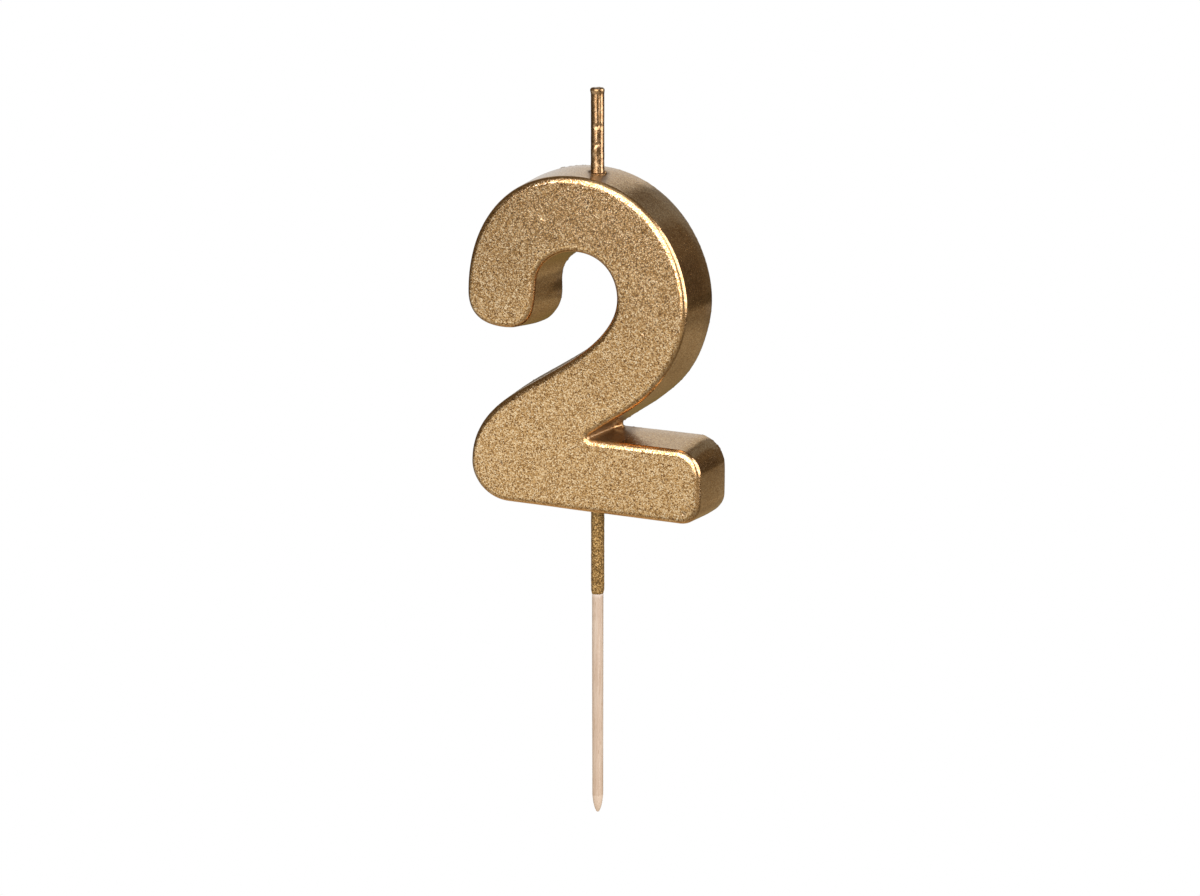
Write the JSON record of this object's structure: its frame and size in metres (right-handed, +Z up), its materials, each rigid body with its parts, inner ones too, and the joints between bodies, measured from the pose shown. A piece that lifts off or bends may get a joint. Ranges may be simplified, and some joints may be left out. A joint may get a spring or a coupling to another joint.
{
  "type": "number birthday candle",
  "caption": "Gold wax numeral candle, shaped as a two, with a gold-coated plaited wick on top and a pointed wooden pick below for pushing into a cake.",
  "frame": {"origin": "where the centre line of the wooden pick leaves the underside of the numeral, halfway through the numeral's depth", "axes": "+Z up along the pick and the wick, +X to the numeral's right as it is read, and its painted face looks along -Y"},
  "size_m": [0.0545, 0.012, 0.1564],
  "materials": {
    "gold_wax": "cast paraffin wax under a thin metallic gold paint: fine bright grain on the face, smooth and shinier on the rounded edges and side walls",
    "gold_lacquer": "glossy gold lacquer over wax, uneven and dented",
    "gold_spray": "rough glittery gold coat",
    "cotton": "waxed cotton yarn, plaited",
    "birch": "bare pale birch, fine lengthwise grain",
    "bare_wax": "unpainted paraffin wax, set around the pick"
  },
  "bodies": {
    "root": {"wax_numeral": "gold_wax", "wick_strand_1": "cotton", "wick_strand_2": "cotton", "wick_strand_3": "cotton", "wick_gold_coat": "gold_lacquer", "wick_seal": "gold_lacquer", "wooden_pick": "birch", "pick_gold_coat": "gold_spray", "pick_bond_wax": "bare_wax"}
  },
  "joints": []
}
